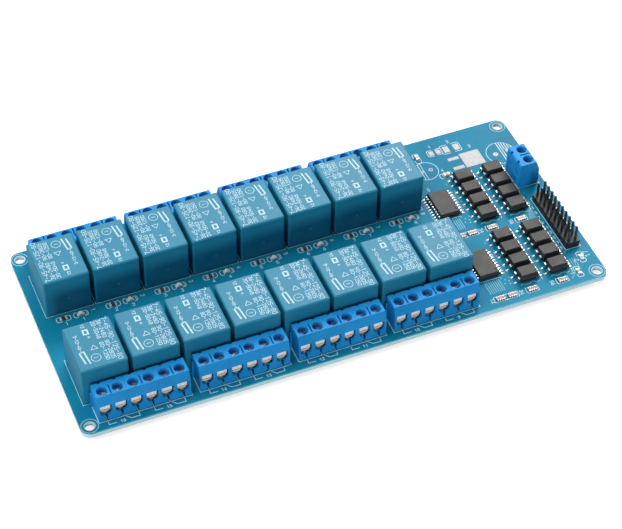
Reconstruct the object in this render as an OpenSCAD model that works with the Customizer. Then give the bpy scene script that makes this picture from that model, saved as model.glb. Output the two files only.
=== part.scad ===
// Relay module board: two rows of relays with screw terminals along both long
// edges, and a control end with optocouplers, driver chips, a pin header and a
// two-way power terminal. Millimetres, +Z up.
// Origin: middle of the four mounting holes, on the underside of the board.

/* [Board] */
// Thickness of the circuit board
board_t = 1.6; // [1:0.1:3]
// Mounting hole centre to the short edges
hole_inset_x = 3.05; // [2.9:0.05:3.6]
// Mounting hole centre to the long edges
hole_inset_y = 3.3; // [2.9:0.05:3.6]
// Mounting hole diameter
hole_d = 3.2; // [2.4:0.1:3.6]
// Corner radius of the board
corner_r = 3.3; // [1:0.1:4]
// Clearance between a pin and its hole in the board, all round
pin_clear = 0.1; // [0.05:0.01:0.2]
// Length of a pin below the board
tail_l = 1.5; // [1.2:0.1:3]
// Height of a solder joint below the board
joint_h = 1.1; // [0.6:0.1:1.1]
// Width of solder around a pin
joint_rim = 0.6; // [0.3:0.05:0.7]

/* [Relays] */
// Relay size along the row
relay_l = 15.4; // [14.4:0.1:16.4]
// Relay size across the row
relay_w = 19; // [18:0.1:21]
// Relay height above the board, with its feet
relay_h = 15.5; // [12:0.1:20]
// Gap between neighbouring relays
relay_gap = 1.36; // [0.6:0.02:3]
// First relay to the short edge of the board
relay_inset = 3.92; // [3:0.02:8]
// Free aisle between the two rows
aisle_w = 19.7; // [18:0.1:26]
// Height of the feet under a relay
relay_foot_h = 0.3; // [0.2:0.05:0.8]
// Radius of the upright edges of a relay case
relay_edge_r = 0.6; // [0.2:0.1:1.2]
// Bevel round the top of a relay case
relay_bevel = 0.4; // [0.2:0.05:1]
// Relay pin diameter
relay_pin_d = 0.9; // [0.6:0.05:1.1]
// Distance between the two coil pins, and between the two contact pins
relay_pin_span = 12; // [10:0.1:12.4]
// Common pin to the inner end of the relay
common_inset = 2.5; // [2:0.1:2.8]
// Coil pins to the inner end of the relay
coil_inset = 4.5; // [4:0.1:6]
// Contact pins to the outer end of the relay
contact_inset = 2.3; // [1.8:0.1:4]

/* [Screw terminals] */
// Distance between neighbouring wire ways
way_pitch = 5; // [4.95:0.01:5.2]
// Terminal depth from wire face to back
terminal_d = 7.4; // [7.2:0.1:9]
// Terminal height
terminal_h = 10; // [9.6:0.1:13]
// Height of the upright part of the wire face
wire_face_h = 6.4; // [5.5:0.1:8]
// How far the sloping part of the wire face leans back
face_lean = 1.4; // [0.6:0.1:1.6]
// Gap between relay row and terminal row
terminal_gap = 0.85; // [0.4:0.05:4]
// Wire face to the long edge of the board
terminal_edge = 3.6; // [2.5:0.1:8]
// Start of the terminal row beyond the start of the relay row
terminal_shift = 2.41; // [0.5:0.01:4]
// Gap between neighbouring terminal blocks
block_gap = 3.08; // [1:0.02:5]
// Gap between interlocked terminal modules
seam = 0.04; // [0.02:0.01:0.1]
// Thickness of the wall in front of the clamps
sill_t = 0.9; // [0.6:0.05:1.2]
// Height of the lower edge of the wire entry
sill_h = 2.4; // [2:0.1:3.5]
// Thickness of the terminal floor
floor_t = 0.7; // [0.5:0.05:1]
// Diameter of the screw recess
recess_d = 3.5; // [3.4:0.05:3.9]
// Screw axis behind the wire face
screw_inset = 3.5; // [3.4:0.05:3.7]

/* [Clamps] */
// Width of the clamp cage
cage_w = 3.5; // [3:0.1:3.7]
// Height of the clamp cage
cage_h = 5.4; // [5.2:0.1:5.6]
// Length of the clamp cage along the wire
cage_l = 3; // [2.4:0.1:3.1]
// Sheet thickness of the cage
cage_t = 0.4; // [0.3:0.05:0.5]
// Corner cut at the foot of the cage
cage_cut = 0.9; // [0.4:0.05:1]
// Free space round the cage
cage_clear = 0.2; // [0.15:0.01:0.3]
// Sheet thickness of the contact
contact_t = 0.4; // [0.3:0.05:0.5]
// Height of the tongue in front of the cage
tongue_h = 3; // [2:0.1:3.2]
// Screw head diameter
head_d = 3.1; // [2.8:0.05:3.3]
// Screw head height
head_h = 1.3; // [0.8:0.1:1.8]
// Screw shank diameter
shank_d = 2.2; // [1.8:0.1:2.4]
// Terminal pin diameter
way_pin_d = 0.9; // [0.7:0.05:1]

/* [Control end] */
// Length of the board beyond the last relay
control_l = 45.33; // [45.2:0.01:60]
// Driver chip centre beyond the last relay
driver_x = 7.45; // [7:0.05:8]
// Driver chip centre of the back half to the middle of the board
driver_y = 8.25; // [7:0.05:9]
// Step from the back half of the control parts to the front half
half_step = 30.15; // [29.8:0.05:31]
// First optocoupler column beyond the last relay
opto_x = 19.2; // [19:0.05:20]
// Distance between the optocoupler columns
opto_column_step = 11.05; // [10.7:0.05:11.2]
// Distance between optocouplers in a column
opto_step = 6.1; // [5.4:0.05:6.1]
// Last optocoupler of the back half to the middle of the board
opto_y = 17.25; // [17:0.05:17.5]
// Resistor arrays in front of their optocouplers
array_drop = 24; // [23.8:0.05:24.2]
// Header pin pitch
header_pitch = 2.54; // [2:0.01:2.54]
// Outer header pins to the short edge of the board
header_edge = 4.36; // [3.5:0.02:5]
// Header pin nearest the middle of the board
header_y = -0.95; // [-2:0.05:0]
// Height of the header base
header_base_h = 2.5; // [2:0.1:3.5]
// Height of the header pins above the board
header_pin_h = 8.5; // [6:0.1:12]
// Header pin width
header_pin_w = 0.64; // [0.5:0.02:0.7]
// Wire face of the power terminal to the short edge of the board
power_edge = 2.45; // [1.5:0.05:2.5]
// Middle of the power terminal across the board
power_y = 12.1; // [11:0.1:13]

/* [Driver chips] */
// Body width between the leads
driver_w = 7.5; // [7:0.1:8]
// Body length
driver_l = 11.6; // [11.2:0.1:12.4]
// Body height
driver_h = 2.3; // [1.8:0.1:3]
// Lead pitch
driver_pitch = 1.27; // [1.2:0.01:1.3]
// Width over the lead tips
driver_span = 10.3; // [9.6:0.1:10.6]
// Lead width
driver_lead_w = 0.42; // [0.3:0.02:0.5]

/* [Optocouplers] */
// Body width between the leads
opto_w = 6.5; // [6:0.1:7]
// Body length
opto_l = 4.6; // [4.2:0.1:4.9]
// Body height
opto_h = 3.4; // [2.5:0.1:4]
// Lead pitch
opto_pitch = 2.54; // [2.2:0.02:2.6]
// Width over the lead tips
opto_span = 9.7; // [9:0.1:9.8]
// Width of a lead at its foot
opto_foot_w = 0.5; // [0.4:0.05:0.8]
// Width of a lead at the body
opto_lead_w = 1.1; // [0.8:0.05:1.3]

/* [Small parts] */
// Gap under every chip body
standoff = 0.12; // [0.05:0.01:0.3]
// Lead sheet thickness
lead_t = 0.22; // [0.15:0.01:0.3]
// Chip resistor, capacitor and lamp length
chip_l = 2; // [1.6:0.1:2.4]
// Chip resistor, capacitor and lamp width
chip_w = 1.25; // [0.8:0.05:1.6]
// Chip resistor height
chip_h = 0.5; // [0.35:0.05:0.8]
// Chip capacitor height
cap_h = 0.9; // [0.6:0.05:1.3]
// Metal end length of a chip part
chip_end = 0.4; // [0.2:0.05:0.5]
// Lens height of a lamp
lens_h = 0.5; // [0.3:0.05:0.8]
// Channel parts to the inner face of their relay
channel_gap = 2.65; // [1.5:0.05:4]
// Channel parts to either side of the middle of their relay
channel_dx = 2.9; // [2.2:0.05:4]
// Resistor array length
array_l = 3.2; // [3:0.1:3.8]
// Resistor array width
array_w = 1.6; // [1.2:0.1:2]
// Metal end width of a resistor array
array_end_w = 0.46; // [0.3:0.02:0.5]

/* [Hidden] */
$fn = 32;
relays_per_row = 8;
blocks_per_row = 4;
modules_per_block = 3;
ways_per_module = 2;
ways_per_block = modules_per_block * ways_per_module;
driver_leads_per_side = 9;
opto_rows = 4;
header_rows = 10;
array_ends = 4;
eps = 0.01;
BACK = 1;
FRONT = -1;

function two_digits(n) = n < 10 ? str("0", n) : str(n);
relay_names = [for (n = [1 : 2 * relays_per_row]) str("relay_", two_digits(n))];
back_block_names = [for (n = [1 : blocks_per_row]) str("back_terminal_", n)];
front_block_names = [for (n = [1 : blocks_per_row]) str("front_terminal_", n)];

// ---- plan of the board
row_clear = 1;
relay_step = relay_l + relay_gap;
relay_row_l = (relays_per_row - 1) * relay_step + relay_l;
module_l = ways_per_module * way_pitch;
block_l = modules_per_block * module_l;
block_step = block_l + block_gap;
terminal_row_l = (blocks_per_row - 1) * block_step + block_l;
// The control end starts beyond the longer of the two rows.
row_l = max(relay_row_l, terminal_shift + terminal_row_l + row_clear);
board_l = relay_inset + row_l + control_l;
relay_y = aisle_w / 2 + relay_w / 2;
terminal_face_y = aisle_w / 2 + relay_w + terminal_gap + terminal_d;
board_w = 2 * (terminal_face_y + terminal_edge);
left_x = -board_l / 2;
right_x = board_l / 2;
control_x = right_x - control_l;

function relay_x(i) = left_x + relay_inset + relay_l / 2 + i * relay_step;
function block_x(k) = left_x + relay_inset + terminal_shift + block_l / 2 + k * block_step;
// The front half of the control end repeats the back half.
function half_shift(side) = side == BACK ? 0 : -half_step;

// ---- pin places, shared by pins, board holes and solder joints
function relay_pin_places(side) = [
    for (i = [0 : relays_per_row - 1])
        each [
            [relay_x(i), side * (relay_y - relay_w / 2 + common_inset)],
            for (dx = [-1, 1])
                [relay_x(i) + dx * relay_pin_span / 2, side * (relay_y - relay_w / 2 + coil_inset)],
            for (dx = [-1, 1])
                [relay_x(i) + dx * relay_pin_span / 2, side * (relay_y + relay_w / 2 - contact_inset)]
        ]
];
way_pin_inset = screw_inset + cage_l / 2 + pin_clear + way_pin_d / 2;
function way_x(k, w) = block_x(k) + (w - (ways_per_block - 1) / 2) * way_pitch;
function way_pin_places(side) = [
    for (k = [0 : blocks_per_row - 1], w = [0 : ways_per_block - 1])
        [way_x(k, w), side * (terminal_face_y - way_pin_inset)]
];
power_face_x = right_x - power_edge;
power_ways = [-way_pitch / 2, way_pitch / 2];
power_pin_places = [for (w = power_ways) [power_face_x - way_pin_inset, power_y + w]];
header_x = right_x - header_edge;
header_pin_places = [
    for (c = [0, 1], r = [0 : header_rows - 1])
        [header_x - c * header_pitch, header_y - r * header_pitch]
];
header_hole_d = header_pin_w * sqrt(2) + 2 * pin_clear;

// ---- open holes of a capacitor that is not fitted
open_cap_x = 9.15;
open_cap_edge = 14.6;
open_cap_y = board_w / 2 - open_cap_edge;
open_cap_pitch = 3.5;
open_cap_hole_d = 0.9;

// ---- general shapes
// A profile drawn in X and height, centred on Y and pushed wide along it.
module along_y(wide) rotate([90, 0, 0]) linear_extrude(wide, center = true) children();

// A profile drawn in Y and height, centred on X and pushed wide along it.
module along_x(wide) rotate([90, 0, 90]) linear_extrude(wide, center = true) children();

module rounded_plate(l, w, t, r) {
    linear_extrude(t) {
        square([l - 2 * r, w], center = true);
        square([l, w - 2 * r], center = true);
        for (x = [-1, 1], y = [-1, 1])
            translate([x * (l / 2 - r), y * (w / 2 - r)]) circle(r);
    }
}

// ---- circuit board
module mounting_holes() {
    for (x = [-1, 1], y = [-1, 1])
        translate([x * (board_l / 2 - hole_inset_x), y * (board_w / 2 - hole_inset_y), -1])
            cylinder(h = board_t + 2, d = hole_d);
}

module round_holes(places, d) {
    for (p = places)
        translate([p[0], p[1], -1]) cylinder(h = board_t + 2, d = d, $fn = 16);
}

module circuit_board() {
    color([0.05, 0.42, 0.53])
    difference() {
        rounded_plate(board_l, board_w, board_t, corner_r);
        mounting_holes();
        for (side = [BACK, FRONT]) {
            round_holes(relay_pin_places(side), relay_pin_d + 2 * pin_clear);
            round_holes(way_pin_places(side), way_pin_d + 2 * pin_clear);
        }
        round_holes(power_pin_places, way_pin_d + 2 * pin_clear);
        round_holes(header_pin_places, header_hole_d);
        for (dx = [-1, 1])
            round_holes([[control_x + open_cap_x + dx * open_cap_pitch / 2, open_cap_y]], open_cap_hole_d);
    }
}

// ---- relays
pip_d = 0.9;
pip_h = 0.12;
pip_x = 0.3;
pip_z = 6.2;
relay_foot_d = 1.6;
relay_foot_inset_x = 3.4;
relay_foot_inset_y = 1.7;

// End view of the case: upright sides and a bevel at the top.
module bevelled_end(w, h) {
    polygon([
        [-w / 2, 0], [w / 2, 0], [w / 2, h - relay_bevel], [w / 2 - relay_bevel, h],
        [-w / 2 + relay_bevel, h], [-w / 2, h - relay_bevel]
    ]);
}

// One relay, inner end towards -Y.
module relay_case() {
    case_h = relay_h - relay_foot_h;
    translate([0, 0, relay_foot_h]) intersection() {
        rounded_plate(relay_l, relay_w, case_h, relay_edge_r);
        along_y(relay_w + 1) bevelled_end(relay_l, case_h);
        along_x(relay_l + 1) bevelled_end(relay_w, case_h);
    }
    for (x = [-1, 1], y = [-1, 1])
        translate([x * (relay_l / 2 - relay_foot_inset_x), y * (relay_w / 2 - relay_foot_inset_y), 0])
            cylinder(h = relay_foot_h + eps, d = relay_foot_d);
    translate([pip_x, -relay_w / 2 - pip_h, pip_z])
        rotate([-90, 0, 0]) cylinder(h = pip_h + eps, d = pip_d);
}

module relay(n) {
    side = n < relays_per_row ? BACK : FRONT;
    i = n % relays_per_row;
    color([0.12, 0.45, 0.58])
    translate([relay_x(i), side * relay_y, board_t]) rotate(side == BACK ? 0 : 180) relay_case();
}

module relay_pins(side) {
    color("silver")
    for (p = relay_pin_places(side))
        translate([p[0], p[1], -tail_l])
            cylinder(h = tail_l + board_t + relay_foot_h, d = relay_pin_d, $fn = 16);
}

// ---- screw terminals: a module has its wire face at Y = 0 and its back towards +Y
cage_z = floor_t + cage_clear;
cage_top = cage_z + cage_h;
cavity_w = cage_w + 2 * cage_clear;
cavity_cut = cage_cut;
head_gap = 0.3;
cavity_top = cage_top + head_gap + 0.1;
cavity_back = way_pin_inset + way_pin_d / 2 + pin_clear;
contact_gap = 0.25;
contact_top = cage_top - cage_t - contact_gap;
contact_w = cage_w - 2 * cage_t - 2 * pin_clear;
tongue_y = screw_inset - cage_l / 2 - 0.3 - contact_t;
tongue_w = cage_w - 0.2;
tongue_cut = 0.8;
slit_w = 0.8;
slit_l = 3;
top_slot_w = 0.5;
top_slot_l = 3.6;
top_slot_depth = 1;
back_bevel = 0.5;
notch_w = 1;
notch_depth = 0.8;
notch_h = 1.3;
window_w = 2.2;
window_h = 2.8;
window_z = 3.4;
window_depth = 0.3;
dovetail_out = 0.5;
dovetail_root = 0.3;
dovetail_tip = 0.4;
dovetail_clear = 0.05;
dovetail_y = (cavity_back + terminal_d) / 2;
dovetail_h = wire_face_h;

// Upright outline of a clamp space, with cut lower corners.
module cage_outline(w, z0, z1, cut) {
    polygon([
        [-w / 2, z1], [-w / 2, z0 + cut], [-w / 2 + cut, z0],
        [w / 2 - cut, z0], [w / 2, z0 + cut], [w / 2, z1]
    ]);
}

module dovetail(more) {
    linear_extrude(dovetail_h + more)
        polygon([
            [eps, -dovetail_root - more], [-dovetail_out - more, -dovetail_tip - more],
            [-dovetail_out - more, dovetail_tip + more], [eps, dovetail_root + more]
        ]);
}

module wire_way_cuts() {
    // space of the clamp behind the front wall
    translate([0, (sill_t + cavity_back) / 2, 0])
        along_y(cavity_back - sill_t) cage_outline(cavity_w, floor_t, cavity_top, cavity_cut);
    // wire entry through the front wall
    translate([0, sill_t / 2, 0])
        along_y(sill_t + 1) cage_outline(cavity_w, sill_h, cavity_top, cavity_cut);
    // sloping sill below the wire entry
    along_x(cavity_w - 2 * cavity_cut)
        polygon([[-1, sill_h - 0.8], [sill_t + eps, sill_h + 0.2], [-1, sill_h + 0.2]]);
    // slit below the wire entry, through the front wall and on into the floor
    translate([-slit_w / 2, -1, -1]) cube([slit_w, slit_l + 1, sill_h + 1.2]);
    translate([0, screw_inset, cavity_top - 1]) cylinder(h = terminal_h, d = recess_d);
    translate([0, way_pin_inset, -1]) cylinder(h = floor_t + 2, d = way_pin_d + 2 * pin_clear, $fn = 16);
    // notch in the upper back edge and shallow window in the back
    translate([-notch_w / 2, terminal_d - notch_depth, terminal_h - notch_h])
        cube([notch_w, notch_depth + 1, notch_h + 1]);
    translate([-window_w / 2, terminal_d - window_depth, window_z])
        cube([window_w, window_depth + 1, window_h]);
}

module terminal_module() {
    solid_l = module_l - seam;
    difference() {
        along_x(solid_l)
            polygon([
                [0, 0], [0, wire_face_h], [face_lean, terminal_h],
                [terminal_d - back_bevel, terminal_h], [terminal_d, terminal_h - back_bevel],
                [terminal_d, 0]
            ]);
        for (w = power_ways) translate([w, 0, 0]) wire_way_cuts();
        translate([-top_slot_w / 2, screw_inset - top_slot_l / 2, terminal_h - top_slot_depth])
            cube([top_slot_w, top_slot_l, top_slot_depth + 1]);
        translate([solid_l / 2, dovetail_y, -eps]) dovetail(dovetail_clear);
    }
    translate([-solid_l / 2, dovetail_y, 0]) dovetail(0);
}

module at_front_face(side, k) {
    translate([block_x(k), side * terminal_face_y, board_t]) rotate(side == BACK ? 180 : 0) children();
}

module at_power_face() {
    translate([power_face_x, power_y, board_t]) rotate(90) children();
}

module terminal_block(side, k) {
    color([0.08, 0.38, 0.8])
    at_front_face(side, k)
        for (m = [0 : modules_per_block - 1])
            translate([(m - (modules_per_block - 1) / 2) * module_l, 0, 0]) terminal_module();
}

module power_terminal() {
    color([0.08, 0.38, 0.8]) at_power_face() terminal_module();
}

// Puts a copy of its child in every wire way of one row.
module in_row_ways(side) {
    for (k = [0 : blocks_per_row - 1], w = [0 : ways_per_block - 1])
        translate([way_x(k, w), side * terminal_face_y, board_t]) rotate(side == BACK ? 180 : 0) children();
}

module in_power_ways() {
    at_power_face() for (w = power_ways) translate([w, 0, 0]) children();
}

module clamp_cage() {
    translate([0, screw_inset, 0]) difference() {
        along_y(cage_l) cage_outline(cage_w, cage_z, cage_top, cage_cut);
        along_y(cage_l + 1)
            cage_outline(cage_w - 2 * cage_t, cage_z + 2 * cage_t, cage_top - cage_t, cage_cut * 0.8);
        translate([0, 0, cage_top - 1]) cylinder(h = 2, d = shank_d + 2 * pin_clear, $fn = 24);
    }
}

// Bent contact: tongue in front of the cage, bar through it, leg and pin behind it.
module clamp_contact() {
    bar_y = way_pin_inset + contact_t / 2;
    translate([-contact_w / 2, tongue_y, contact_top - contact_t])
        cube([contact_w, bar_y - tongue_y, contact_t]);
    translate([0, tongue_y + contact_t / 2, 0])
        along_y(contact_t) cage_outline(tongue_w, contact_top - tongue_h, contact_top, tongue_cut);
    translate([-contact_w / 2, bar_y - contact_t, cage_z])
        cube([contact_w, contact_t, contact_top - cage_z]);
    translate([0, way_pin_inset, -board_t - tail_l])
        cylinder(h = board_t + tail_l + cage_z + 1, d = way_pin_d, $fn = 16);
}

module clamp_screw() {
    slot_w = 0.55;
    slot_depth = 0.6;
    head_z = cage_top + head_gap;
    translate([0, screw_inset, 0]) {
        difference() {
            translate([0, 0, head_z]) cylinder(h = head_h, d = head_d);
            translate([-head_d, -slot_w / 2, head_z + head_h - slot_depth])
                cube([2 * head_d, slot_w, slot_depth + 1]);
        }
        translate([0, 0, contact_top]) cylinder(h = head_z - contact_top + eps, d = shank_d);
    }
}

module clamp_cages(side) { color("gainsboro") in_row_ways(side) clamp_cage(); }
module clamp_contacts(side) { color("gold") in_row_ways(side) clamp_contact(); }
module clamp_screws(side) { color("silver") in_row_ways(side) clamp_screw(); }
module clamp_cages_power() { color("gainsboro") in_power_ways() clamp_cage(); }
module clamp_contacts_power() { color("gold") in_power_ways() clamp_contact(); }
module clamp_screws_power() { color("silver") in_power_ways() clamp_screw(); }

// ---- pin header
header_notch = 0.35;
header_fit = 0.02;
header_tip = 0.5;

// One long side of the base, with a notch between neighbouring rows of pins.
function notched_side(x, inward) = [
    for (r = [0 : header_rows - 1])
        each [
            [x + inward * header_notch, -r * header_pitch],
            [x, -r * header_pitch - header_notch],
            [x, -(r + 1) * header_pitch + header_notch]
        ],
    [x + inward * header_notch, -header_rows * header_pitch]
];
function reversed(list) = [for (i = [len(list) - 1 : -1 : 0]) list[i]];

module header_base() {
    color([0.13, 0.12, 0.12])
    translate([0, 0, board_t]) difference() {
        translate([header_x - header_pitch / 2, header_y + header_pitch / 2, 0])
            linear_extrude(header_base_h)
                polygon(concat(
                    notched_side(-header_pitch, 1),
                    reversed(notched_side(header_pitch, -1))
                ));
        for (p = header_pin_places)
            translate([p[0], p[1], header_base_h / 2])
                cube([header_pin_w + 2 * header_fit, header_pin_w + 2 * header_fit, header_base_h + 1],
                    center = true);
    }
}

// Side view of a header pin, with a tapered tip at both ends.
module pin_outline() {
    w = header_pin_w / 2;
    polygon([
        [-w, -tail_l + header_tip / 2], [-w / 2, -tail_l], [w / 2, -tail_l], [w, -tail_l + header_tip / 2],
        [w, board_t + header_pin_h - header_tip], [w / 2, board_t + header_pin_h],
        [-w / 2, board_t + header_pin_h], [-w, board_t + header_pin_h - header_tip]
    ]);
}

module header_pins() {
    color([0.35, 0.34, 0.33])
    for (p = header_pin_places)
        translate([p[0], p[1], 0]) intersection() {
            along_y(header_pin_w) pin_outline();
            along_x(header_pin_w) pin_outline();
        }
}

// ---- moulded chips with bent leads
body_lean = 0.35;

// End view of a moulded body: sides lean in above and below a band of lead height.
module moulded_end(w, h, band_z) {
    polygon([
        [-w / 2 + body_lean, standoff], [w / 2 - body_lean, standoff], [w / 2, band_z],
        [w / 2, band_z + lead_t], [w / 2 - body_lean, h], [-w / 2 + body_lean, h],
        [-w / 2, band_z + lead_t], [-w / 2, band_z]
    ]);
}

module moulded_body(w, l, h, band_z, dimple_d) {
    difference() {
        intersection() {
            along_y(l + 1) moulded_end(w, h, band_z);
            along_x(w + 1) moulded_end(l, h, band_z);
        }
        translate([w / 2 - body_lean - dimple_d, -l / 2 + body_lean + dimple_d, h - 0.1])
            cylinder(h = 1, d = dimple_d, $fn = 20);
    }
}

// Side view of a bent lead from the body side at x0 to the tip at x1.
module bent_lead_outline(x0, x1, band_z, shoulder, foot) {
    drop_x = x1 - foot;
    polygon([
        [x0, band_z], [x0, band_z + lead_t], [x0 + shoulder, band_z + lead_t],
        [drop_x + lead_t * 0.7, lead_t], [x1, lead_t], [x1, 0],
        [drop_x, 0], [x0 + shoulder - lead_t * 0.7, band_z]
    ]);
}

driver_band_z = driver_h / 2;
driver_shoulder = 0.45;
driver_foot = 0.7;
driver_dimple_d = 1;
opto_band_z = opto_h * 0.5;
opto_shoulder = 0.55;
opto_foot = 0.75;
opto_dimple_d = 0.7;

module at_driver(side) {
    translate([control_x + driver_x, driver_y + half_shift(side), board_t]) children();
}

module driver_chip(side) {
    color([0.22, 0.21, 0.2])
    at_driver(side) moulded_body(driver_w, driver_l, driver_h, driver_band_z, driver_dimple_d);
}

module driver_leads(side) {
    color("silver")
    at_driver(side)
        for (turn = [0, 180], n = [0 : driver_leads_per_side - 1])
            rotate(turn)
                translate([0, (n - (driver_leads_per_side - 1) / 2) * driver_pitch, 0])
                    along_y(driver_lead_w)
                        bent_lead_outline(driver_w / 2, driver_span / 2, driver_band_z,
                            driver_shoulder, driver_foot);
}

module at_optos(side) {
    for (c = [0, 1], r = [0 : opto_rows - 1])
        translate([
            control_x + opto_x + c * opto_column_step,
            opto_y + half_shift(side) - r * opto_step,
            board_t
        ]) children();
}

module optocouplers(side) {
    color([0.22, 0.21, 0.2])
    at_optos(side) moulded_body(opto_w, opto_l, opto_h, opto_band_z, opto_dimple_d);
}

module opto_lead() {
    along_y(opto_foot_w)
        bent_lead_outline(opto_w / 2, opto_span / 2, opto_band_z, opto_shoulder, opto_foot);
    translate([opto_w / 2, -opto_lead_w / 2, opto_band_z])
        cube([opto_shoulder, opto_lead_w, lead_t]);
}

module opto_leads(side) {
    color("silver")
    at_optos(side)
        for (turn = [0, 180], y = [-opto_pitch / 2, opto_pitch / 2])
            rotate(turn) translate([0, y, 0]) opto_lead();
}

// ---- resistor arrays
array_h = 0.5;
array_end_d = 0.3;
array_xs = [6.9, 11.25, 18.5, 29.6];

module at_arrays() {
    for (side = [BACK, FRONT], x = array_xs)
        translate([control_x + x, opto_y + half_shift(side) - array_drop, board_t]) children();
}

module array_end_blocks(more) {
    for (n = [0 : array_ends - 1], y = [-1, 1])
        translate([
            (n - (array_ends - 1) / 2) * array_l / array_ends,
            y * (array_w / 2 - array_end_d / 2 + more / 2),
            array_h / 2
        ]) cube([array_end_w, array_end_d + more, array_h + 2 * more], center = true);
}

module resistor_arrays() {
    color([0.24, 0.16, 0.14])
    at_arrays() difference() {
        translate([-array_l / 2, -array_w / 2, 0]) cube([array_l, array_w, array_h]);
        array_end_blocks(eps);
    }
}

module resistor_array_ends() { color("gainsboro") at_arrays() array_end_blocks(0); }

// ---- chip resistors, capacitors and lamps
power_lamp_inset = 5.1;
power_lamp_edge = 10.7;
power_resistor_inset = 9;
power_resistor_edge = 5.1;
// place and turn of each capacitor
cap_edge = 7.9;
cap_places = [[8.8, board_w / 2 - cap_edge, 90], [14.9, 21.6, 0]];

module at_channel_parts(dx) {
    for (side = [BACK, FRONT], i = [0 : relays_per_row - 1])
        translate([relay_x(i) + side * dx, side * (aisle_w / 2 - channel_gap), board_t])
            rotate(side == BACK ? 0 : 180) children();
}

module at_resistors() {
    at_channel_parts(-channel_dx) children();
    translate([right_x - power_resistor_inset, -board_w / 2 + power_resistor_edge, board_t])
        rotate(90) children();
}

module at_lamps() {
    at_channel_parts(channel_dx) children();
    translate([right_x - power_lamp_inset, -board_w / 2 + power_lamp_edge, board_t]) rotate(90) children();
}

module at_caps() {
    for (p = cap_places) translate([control_x + p[0], p[1], board_t]) rotate(p[2]) children();
}

module chip_middle(h) {
    translate([-chip_l / 2 + chip_end, -chip_w / 2, 0]) cube([chip_l - 2 * chip_end, chip_w, h]);
}

module chip_end_pair(h) {
    for (x = [-chip_l / 2, chip_l / 2 - chip_end])
        translate([x, -chip_w / 2, 0]) cube([chip_end, chip_w, h]);
}

// Lens with sloping ends on the base of a lamp.
module lamp_lens() {
    half_l = chip_l / 2 - chip_end;
    translate([0, 0, lamp_base_h])
        along_y(chip_w)
            polygon([[-half_l, 0], [half_l, 0], [half_l * 0.75, lens_h], [-half_l * 0.75, lens_h]]);
}

lamp_base_h = 0.35;

module chip_resistors() { color([0.15, 0.13, 0.12]) at_resistors() chip_middle(chip_h); }
module chip_resistor_ends() { color("gainsboro") at_resistors() chip_end_pair(chip_h); }
module lamp_bases() { color("white") at_lamps() chip_middle(lamp_base_h); }
module lamp_ends() { color("gold") at_lamps() chip_end_pair(lamp_base_h); }
module lamp_lenses() { color([0.9, 0.9, 0.8]) at_lamps() lamp_lens(); }
module chip_capacitors() { color([0.6, 0.45, 0.3]) at_caps() chip_middle(cap_h); }
module chip_capacitor_ends() { color("gainsboro") at_caps() chip_end_pair(cap_h); }

// ---- solder joints under the board
module solder_joint(bore_r) {
    rim_r = bore_r + joint_rim;
    waist_r = bore_r + joint_rim * 0.45;
    crown_r = bore_r + joint_rim * 0.2;
    rotate_extrude($fn = 20)
        polygon([
            [bore_r, 0], [rim_r, 0], [waist_r, -joint_h * 0.4], [crown_r, -joint_h], [bore_r, -joint_h]
        ]);
}

module solder_joints(places, bore_r) {
    color([0.72, 0.73, 0.75])
    for (p = places) translate([p[0], p[1], 0]) solder_joint(bore_r);
}

module solder_joints_relays() {
    solder_joints(concat(relay_pin_places(BACK), relay_pin_places(FRONT)), relay_pin_d / 2);
}

module solder_joints_terminals() {
    solder_joints(concat(way_pin_places(BACK), way_pin_places(FRONT), power_pin_places), way_pin_d / 2);
}

module solder_joints_header() {
    solder_joints(header_pin_places, header_pin_w * sqrt(2) / 2);
}

circuit_board();
for (n = [0 : 2 * relays_per_row - 1])
    relay(n);
relay_pins(BACK);  // relay_pins_back
relay_pins(FRONT);  // relay_pins_front
for (k = [0 : blocks_per_row - 1]) {
    terminal_block(BACK, k);
    terminal_block(FRONT, k);
}
power_terminal();
clamp_cages(BACK);  // clamp_cages_back
clamp_cages(FRONT);  // clamp_cages_front
clamp_cages_power();
clamp_contacts(BACK);  // clamp_contacts_back
clamp_contacts(FRONT);  // clamp_contacts_front
clamp_contacts_power();
clamp_screws(BACK);  // clamp_screws_back
clamp_screws(FRONT);  // clamp_screws_front
clamp_screws_power();
header_base();
header_pins();
driver_chip(BACK);  // driver_chip_back
driver_chip(FRONT);  // driver_chip_front
driver_leads(BACK);  // driver_leads_back
driver_leads(FRONT);  // driver_leads_front
optocouplers(BACK);  // optocouplers_back
optocouplers(FRONT);  // optocouplers_front
opto_leads(BACK);  // opto_leads_back
opto_leads(FRONT);  // opto_leads_front
resistor_arrays();
resistor_array_ends();
chip_resistors();
chip_resistor_ends();
lamp_bases();
lamp_ends();
lamp_lenses();
chip_capacitors();
chip_capacitor_ends();
solder_joints_relays();
solder_joints_terminals();
solder_joints_header();
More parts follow.
